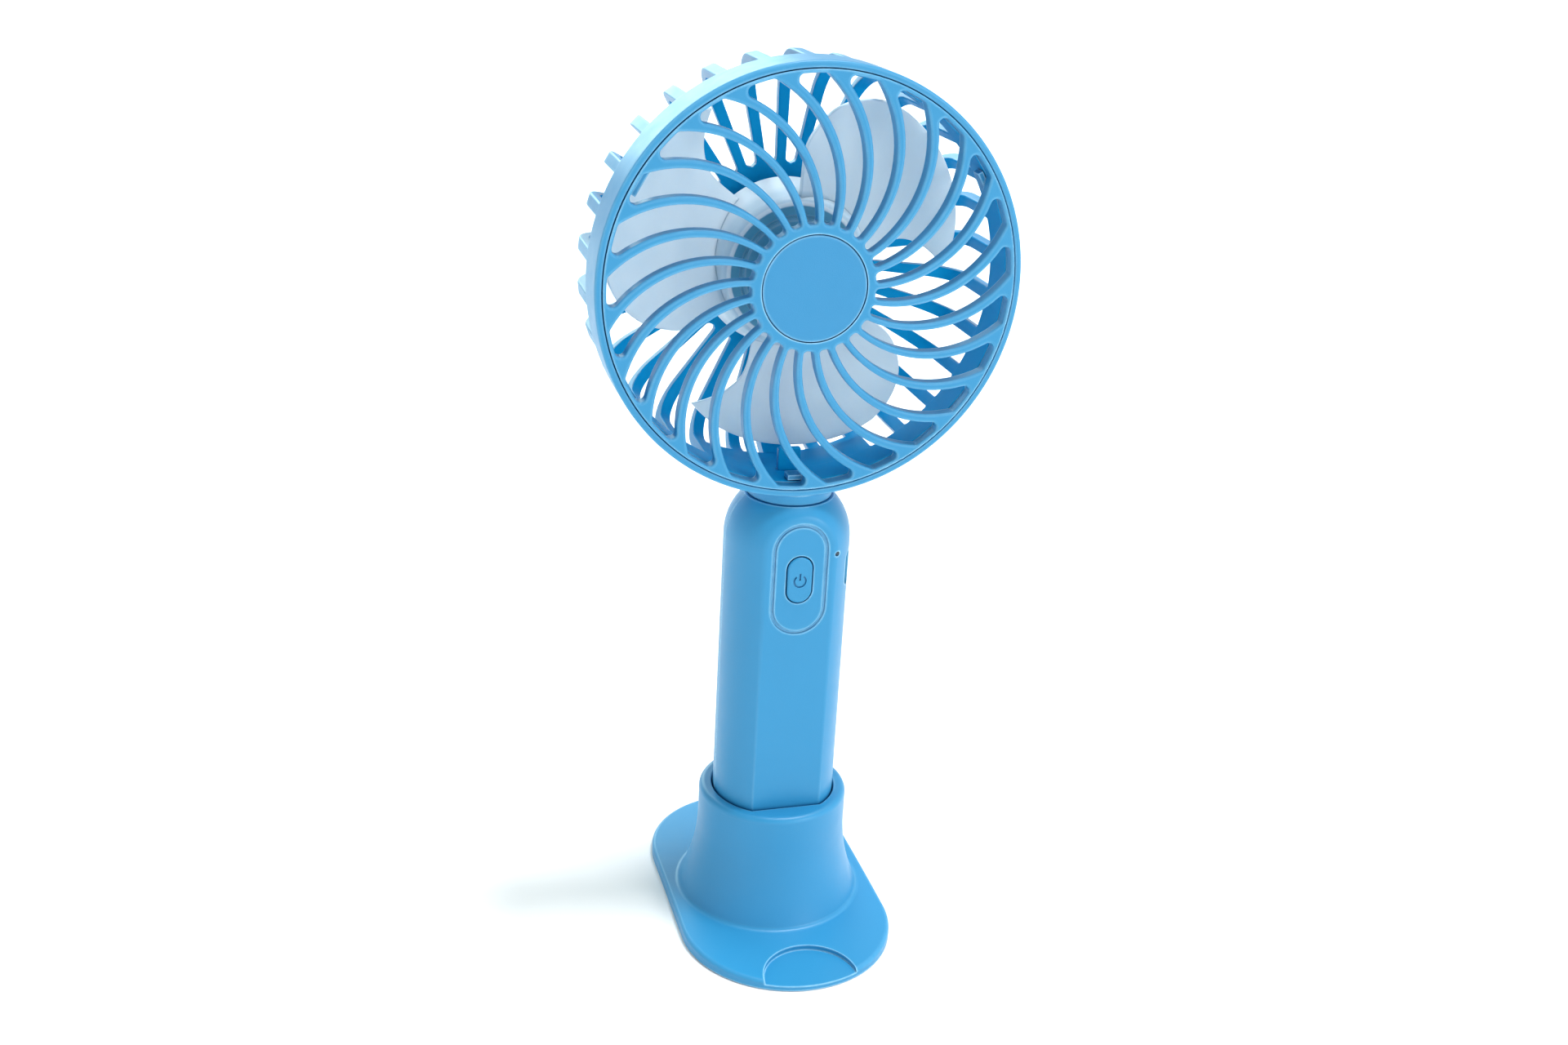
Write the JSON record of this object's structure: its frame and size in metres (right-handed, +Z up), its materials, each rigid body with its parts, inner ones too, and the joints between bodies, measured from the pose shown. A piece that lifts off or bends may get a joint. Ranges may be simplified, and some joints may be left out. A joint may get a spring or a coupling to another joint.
{
  "type": "handheld electric fan",
  "caption": "Handheld electric fan: round guarded head on a slim handle with a push button, standing in a slip-in stadium-plate stand.",
  "frame": {"origin": "middle of the stand's underside, below the handle's axis", "axes": "+Z up along the handle's axis; -Y is the front, where the air leaves; +X is on the right seen from the front"},
  "size_m": [0.1, 0.089, 0.216],
  "materials": {
    "blue_shell": "fine satin moulding, sky blue",
    "blue_button": "fine satin moulding, sky blue",
    "blue_badge": "very fine matte grain, sky blue",
    "frosted_plastic": "frosted translucent moulding",
    "motor_steel": "zinc plated, satin",
    "shaft_steel": "ground",
    "screw_steel": "zinc plated",
    "nickel": "nickel plated",
    "bronze": "sintered, oily",
    "copper": "enamelled copper wire",
    "magnet": "pressed ferrite",
    "white_plastic": "moulded",
    "black_plastic": "moulded",
    "green_board": "solder mask",
    "sleeve": "shrink film",
    "foam": "closed-cell foam",
    "lamp": "clear",
    "wire_red": "insulated wire",
    "wire_black": "insulated wire"
  },
  "bodies": {
    "stand": {"stand_base": "blue_shell"},
    "button": {"power_button": "blue_button", "switch_stem": "black_plastic"},
    "rotor": {"impeller": "frosted_plastic", "motor_shaft": "shaft_steel", "rotor_core": "motor_steel", "rotor_coils": "copper", "commutator": "bronze"},
    "fan": {"battery_cell": "nickel", "battery_pad": "foam", "battery_sleeve": "sleeve", "battery_tabs": "nickel", "battery_wire_black": "wire_black", "battery_wire_red": "wire_red", "board_components": "black_plastic", "board_inductor": "magnet", "board_screws": "screw_steel", "bush_front": "bronze", "bush_rear": "bronze", "circuit_board": "green_board", "front_grille": "blue_shell", "grille_badge": "blue_badge", "handle_front_shell": "blue_shell", "handle_rear_shell": "blue_shell", "head_housing": "blue_shell", "lamp_chip": "white_plastic", "lamp_pipe": "lamp", "motor_brushes": "bronze", "motor_can": "motor_steel", "motor_end_cap": "white_plastic", "motor_magnets": "magnet", "motor_screws": "screw_steel", "motor_terminals": "bronze", "motor_wire_black": "wire_black", "motor_wire_red": "wire_red", "port_shell": "nickel", "port_tongue": "black_plastic", "rear_cover": "blue_shell", "shell_screws": "screw_steel", "switch_body": "black_plastic"}
  },
  "joints": [
    {"name": "fan_lift", "type": "slide", "parent": "stand", "child": "fan", "axis": [0, 0, 1], "range_m": [0, 0.035]},
    {"name": "impeller_spin", "type": "hinge", "parent": "fan", "child": "rotor", "pos_m": [0, 0, 0.166], "axis": [0, 1, 0], "continuous": true},
    {"name": "button_press", "type": "slide", "parent": "fan", "child": "button", "axis": [0, 1, 0], "range_m": [0, 0.0005], "stiffness_N_per_m": 800, "springref_m": -0.0005}
  ]
}
